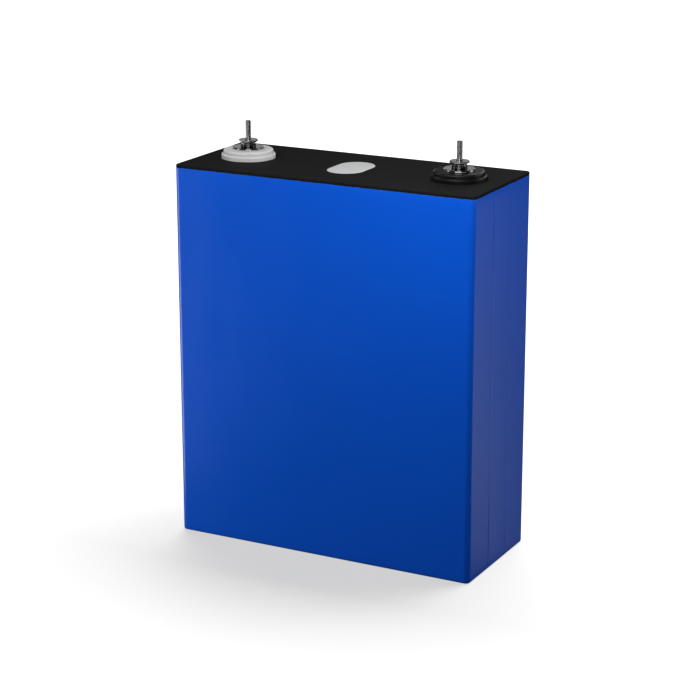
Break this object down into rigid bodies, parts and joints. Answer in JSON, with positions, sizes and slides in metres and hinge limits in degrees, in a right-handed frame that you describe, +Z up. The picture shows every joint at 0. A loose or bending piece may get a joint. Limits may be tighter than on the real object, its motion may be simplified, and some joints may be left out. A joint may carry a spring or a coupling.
{
  "type": "prismatic battery cell",
  "caption": "Blue-wrapped box-shaped lithium cell with a black top cover, a centre vent and two stud terminals with round thumb nuts.",
  "frame": {"origin": "centre of the underside, on the surface that the cell stands on", "axes": "+Z up through the terminals, +X along the wide side towards the negative terminal, +Y through the thickness to the back face"},
  "size_m": [0.174, 0.0712, 0.2252],
  "materials": {
    "blue_film": "semi-gloss blue polyester film",
    "black_cover": "matte black moulded plastic",
    "vent_film": "satin light grey film",
    "light_insulator": "satin off-white moulded plastic",
    "dark_insulator": "glossy black moulded plastic",
    "inner_plastic": "plain dark polypropylene",
    "clear_sheet": "milky polypropylene sheet",
    "aluminium": "plain rolled aluminium",
    "copper": "plain rolled copper",
    "steel": "turned and polished stainless steel",
    "dark_steel": "dark plated spring steel",
    "black_rubber": "soft black fluororubber",
    "coated_foil": "graphite-grey edges of wound coated foil"
  },
  "bodies": {
    "cell": {"wrap_film": "blue_film", "bottom_film": "blue_film", "top_cover": "black_cover", "vent_film": "vent_film", "can": "aluminium", "lid": "aluminium", "vent_burst_disc": "aluminium", "fill_plug": "black_rubber", "fill_cap": "aluminium", "lower_insulator": "inner_plastic", "insulation_bag": "clear_sheet", "bottom_pad": "inner_plastic", "jelly_roll_front": "coated_foil", "jelly_roll_back": "coated_foil", "positive_upper_insulator": "light_insulator", "positive_seal_ring": "black_rubber", "positive_post": "aluminium", "positive_terminal_plate": "steel", "positive_stud": "steel", "positive_collector": "aluminium", "positive_tab_front": "aluminium", "positive_tab_back": "aluminium", "negative_upper_insulator": "dark_insulator", "negative_seal_ring": "black_rubber", "negative_post": "copper", "negative_terminal_plate": "steel", "negative_stud": "steel", "negative_collector": "copper", "negative_tab_front": "copper", "negative_tab_back": "copper"},
    "positive_washer": {"positive_plain_washer": "dark_steel"},
    "positive_thumb_nut": {"positive_nut": "steel"},
    "negative_washer": {"negative_plain_washer": "dark_steel"},
    "negative_thumb_nut": {"negative_nut": "steel"}
  },
  "joints": [
    {"name": "positive_nut_rise", "type": "slide", "parent": "cell", "child": "positive_washer", "axis": [0, 0, 1], "range_m": [0, 0.0105]},
    {"name": "positive_nut_turn", "type": "hinge", "parent": "positive_washer", "child": "positive_thumb_nut", "pos_m": [-0.06215, 0, 0.2134], "axis": [0, 0, 1], "range_deg": [0, 7562]},
    {"name": "negative_nut_rise", "type": "slide", "parent": "cell", "child": "negative_washer", "axis": [0, 0, 1], "range_m": [0, 0.0105]},
    {"name": "negative_nut_turn", "type": "hinge", "parent": "negative_washer", "child": "negative_thumb_nut", "pos_m": [0.06215, 0, 0.2134], "axis": [0, 0, 1], "range_deg": [0, 7562]}
  ],
  "couplings": [
    {"joint": "positive_nut_turn", "follows": "positive_nut_rise", "rad_per_m": 12566},
    {"joint": "negative_nut_turn", "follows": "negative_nut_rise", "rad_per_m": 12566}
  ]
}
